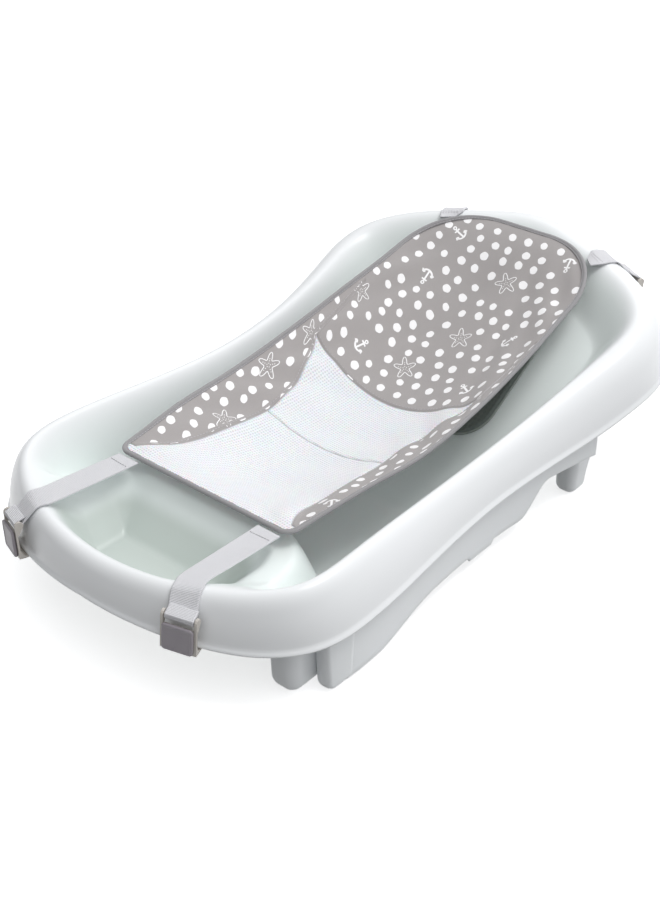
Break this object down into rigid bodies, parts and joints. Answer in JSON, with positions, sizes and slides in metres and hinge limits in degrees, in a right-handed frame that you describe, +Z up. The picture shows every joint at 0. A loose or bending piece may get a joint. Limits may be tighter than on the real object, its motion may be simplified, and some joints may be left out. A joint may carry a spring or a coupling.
{
  "type": "baby bathtub",
  "caption": "Moulded baby bath on short legs, with a wire-framed fabric and mesh sling held over its rim by webbing straps and swinging clips.",
  "frame": {"origin": "under the middle of the tub, on the floor it stands on", "axes": "+X from the foot end to the head end, +Y to the sitter's left, +Z up"},
  "size_m": [0.73, 0.4374, 0.1973],
  "materials": {
    "tub": "satin gloss, smooth moulded white",
    "plug": "soft matte",
    "pad": "fine closed-cell foam, matte",
    "wire": "drawn wire",
    "binding": "woven tape",
    "print": "plain weave with a white print of dots and sea shapes",
    "mesh": "open warp-knitted mesh",
    "webbing": "ribbed woven webbing",
    "hook": "satin, slightly translucent",
    "clip": "fine matte texture"
  },
  "bodies": {
    "tub": {"tub_shell": "tub", "back_pad": "pad", "sling_frame": "wire", "edge_binding": "binding", "back_panel": "print", "right_wing": "print", "left_wing": "print", "seat_mesh": "mesh", "leg_mesh": "mesh", "foot_strap_right": "webbing", "foot_strap_left": "webbing", "head_strap_right": "webbing", "head_strap_left": "webbing"},
    "plug": {"drain_plug": "plug"},
    "foot_clip_right": {"foot_rim_hook_right": "hook", "foot_clip_plate_right": "clip"},
    "foot_clip_left": {"foot_rim_hook_left": "hook", "foot_clip_plate_left": "clip"},
    "head_clip_right": {"head_rim_hook_right": "hook", "head_clip_plate_right": "clip"},
    "head_clip_left": {"head_rim_hook_left": "hook", "head_clip_plate_left": "clip"}
  },
  "joints": [
    {"name": "foot_clip_right_hinge", "type": "hinge", "parent": "tub", "child": "foot_clip_right", "pos_m": [-0.35045, -0.10855, 0.09189], "axis": [-0.3386, 0.9378, 0.0767], "range_deg": [0, 75]},
    {"name": "foot_clip_left_hinge", "type": "hinge", "parent": "tub", "child": "foot_clip_left", "pos_m": [-0.35045, 0.10855, 0.09189], "axis": [0.3386, 0.9378, -0.0767], "range_deg": [0, 75]},
    {"name": "head_clip_right_hinge", "type": "hinge", "parent": "tub", "child": "head_clip_right", "pos_m": [0.34037, -0.11853, 0.15796], "axis": [-0.3423, -0.9265, -0.1564], "range_deg": [0, 75]},
    {"name": "head_clip_left_hinge", "type": "hinge", "parent": "tub", "child": "head_clip_left", "pos_m": [0.34037, 0.11853, 0.15796], "axis": [0.3423, -0.9265, 0.1564], "range_deg": [0, 75]},
    {"name": "plug_pull", "type": "slide", "parent": "tub", "child": "plug", "axis": [0, 0, 1], "range_m": [0, 0.025]}
  ]
}
